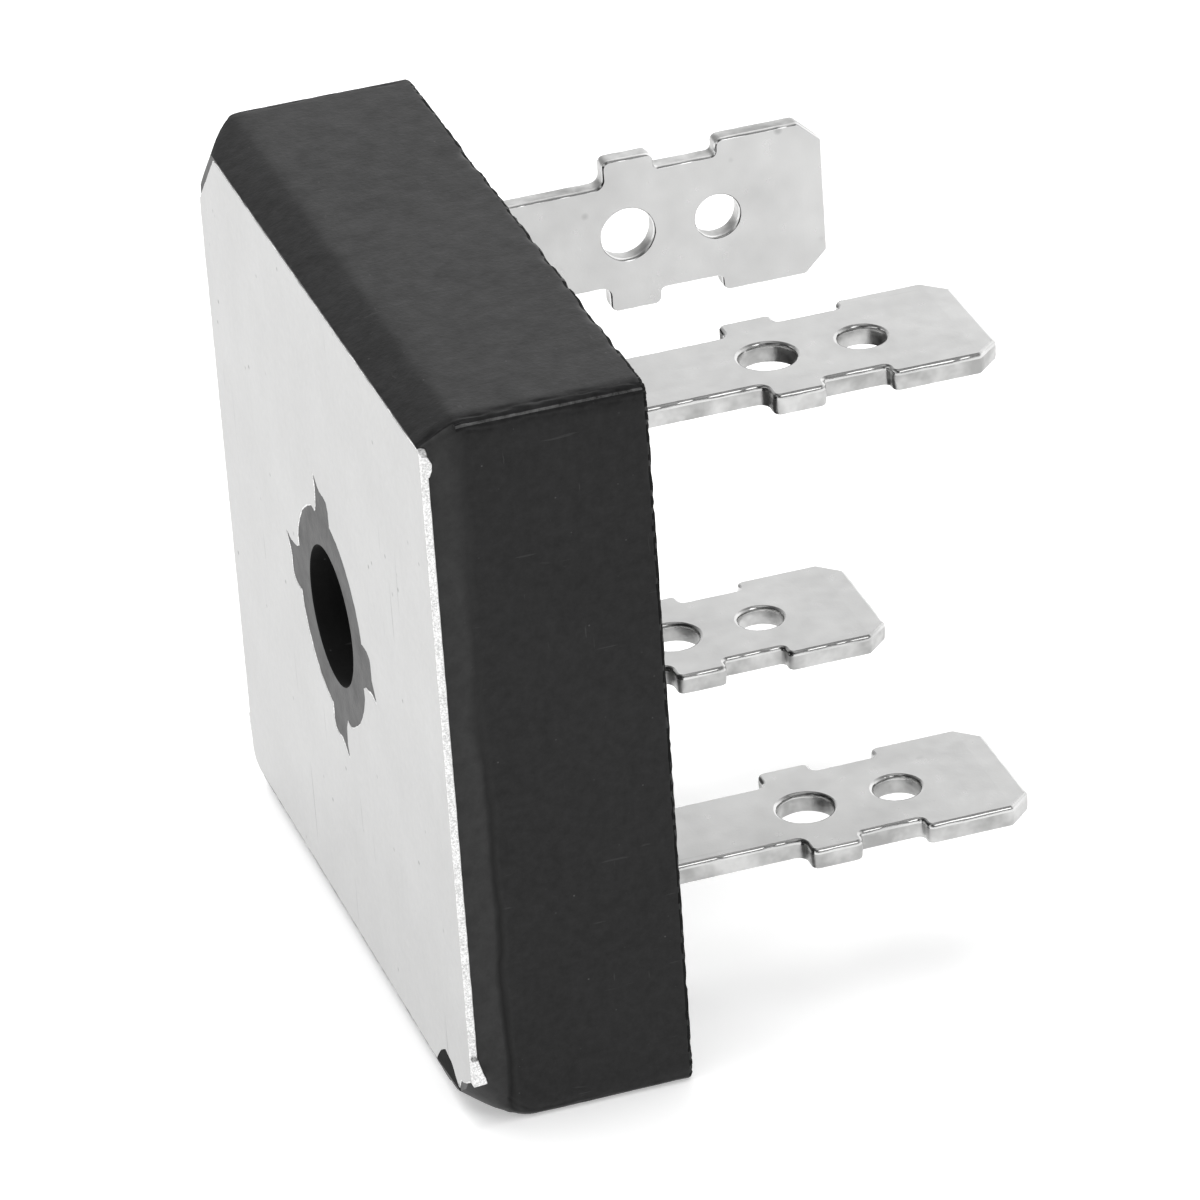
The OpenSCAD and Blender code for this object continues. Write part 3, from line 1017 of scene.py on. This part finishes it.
# Place in millimetres, roll in degrees
cameraLook = {
    "place": (-61.553, -244.464, 136.683),
    "toward": (0.24802, 0.84302, -0.47729),
    "roll": -4.152,
    "lens": 233.107,
    "sensor": 36}


def buildFloor():
    look = floorLook
    size = look["size"]
    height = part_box("case_moulding")[0][2]
    bm = bmesh.new()
    corners = ((-size, -size), (size, -size), (size, size), (-size, size))
    bm.faces.new([bm.verts.new((x, y, height)) for x, y in corners])
    mesh = bpy.data.meshes.new("floor")
    bm.to_mesh(mesh)
    bm.free()
    material, tree, shader = newMaterial("floorWhite", look["colour"], 0, 0.45, 0.25)
    straight = addNode(tree, "LightPath").outputs["Is Camera Ray"]
    colour = mixColours(tree, straight, look["mirroredColour"], look["colour"])
    tree.links.new(colour, shader.inputs["Base Color"])
    shader.inputs["Emission Color"].default_value = (1, 1, 1, 1)
    glow = remap(tree, straight, 0, 1, look["mirroredGlow"], look["glow"])
    tree.links.new(glow, shader.inputs["Emission Strength"])
    rough = remap(tree, noiseAt(tree, objectPlace(tree), 60, 2), 0.3, 0.7, 0.42, 0.48)
    tree.links.new(rough, shader.inputs["Roughness"])
    mesh.materials.append(material)
    floor = bpy.data.objects.new("floor", mesh)
    bpy.context.scene.collection.objects.link(floor)


def roomStrength(tree, direction):
    look = roomLook
    split = addNode(tree, "SeparateXYZ")
    tree.links.new(direction, split.inputs["Vector"])
    x, y, z = (split.outputs[axis] for axis in ("X", "Y", "Z"))
    strength = calculate(tree, "MULTIPLY", remap(tree, y, *look["depth"]), remap(tree, x, *look["side"]))
    strength = calculate(tree, "MULTIPLY", strength, remap(tree, z, *look["height"]))
    # Fill from the far left and from straight above, so that metal stays pale from other sides too
    fill = calculate(tree, "ADD", remap(tree, x, *look["leftFill"]), remap(tree, z, *look["topFill"]))
    strength = calculate(tree, "ADD", strength, fill)
    # A bright box above the viewer leaves a thin light line along each rounded edge
    toBox = addNode(tree, "VectorMath", {1: look["boxToward"]}, operation="DOT_PRODUCT")
    tree.links.new(direction, toBox.inputs[0])
    return calculate(tree, "ADD", strength, remap(tree, toBox.outputs["Value"], *look["boxGlow"]))


def buildRoom():
    world = bpy.data.worlds.new("studio")
    bpy.context.scene.world = world
    world.use_nodes = True
    tree = world.node_tree
    tree.nodes.clear()
    direction = addNode(tree, "TexCoord").outputs["Generated"]
    lit = addNode(tree, "Background", {"Color": (1, 1, 1, 1)})
    tree.links.new(roomStrength(tree, direction), lit.inputs["Strength"])
    # Seen straight on, the room is plain white
    seen = addNode(tree, "Background", {"Color": (1, 1, 1, 1), "Strength": 1})
    choice = addNode(tree, "MixShader")
    tree.links.new(addNode(tree, "LightPath").outputs["Is Camera Ray"], choice.inputs["Fac"])
    tree.links.new(lit.outputs["Background"], choice.inputs[1])
    tree.links.new(seen.outputs["Background"], choice.inputs[2])
    tree.links.new(choice.outputs["Shader"], addNode(tree, "OutputWorld").inputs["Surface"])


def addPanel():
    # Soft panel overhead, aimed at the object and not mirrored in it
    look = panelLook
    light = bpy.data.lights.new("topPanel", "AREA")
    light.shape = "RECTANGLE"
    light.size = look["size"]
    light.size_y = look["size"]
    light.energy = look["power"]
    panel = bpy.data.objects.new("topPanel", light)
    panel.location = look["place"]
    panel.rotation_euler = (-Vector(look["place"])).to_track_quat("-Z", "Y").to_euler()
    panel.visible_glossy = False
    bpy.context.scene.collection.objects.link(panel)


def addCamera():
    look = cameraLook
    data = bpy.data.cameras.new("camera")
    data.lens = look["lens"]
    data.sensor_width = look["sensor"]
    data.clip_start = 0.01
    data.clip_end = 20
    camera = bpy.data.objects.new("camera", data)
    camera.location = Vector(look["place"]) * mm
    facing = Vector(look["toward"]).to_track_quat("-Z", "Y").to_matrix()
    rolled = facing @ Matrix.Rotation(math.radians(look["roll"]), 3, "Z")
    camera.rotation_euler = rolled.to_euler()
    bpy.context.scene.collection.objects.link(camera)
    bpy.context.scene.camera = camera


buildFloor()
buildRoom()
addPanel()
addCamera()
bpy.context.scene.view_settings.view_transform = "Standard"
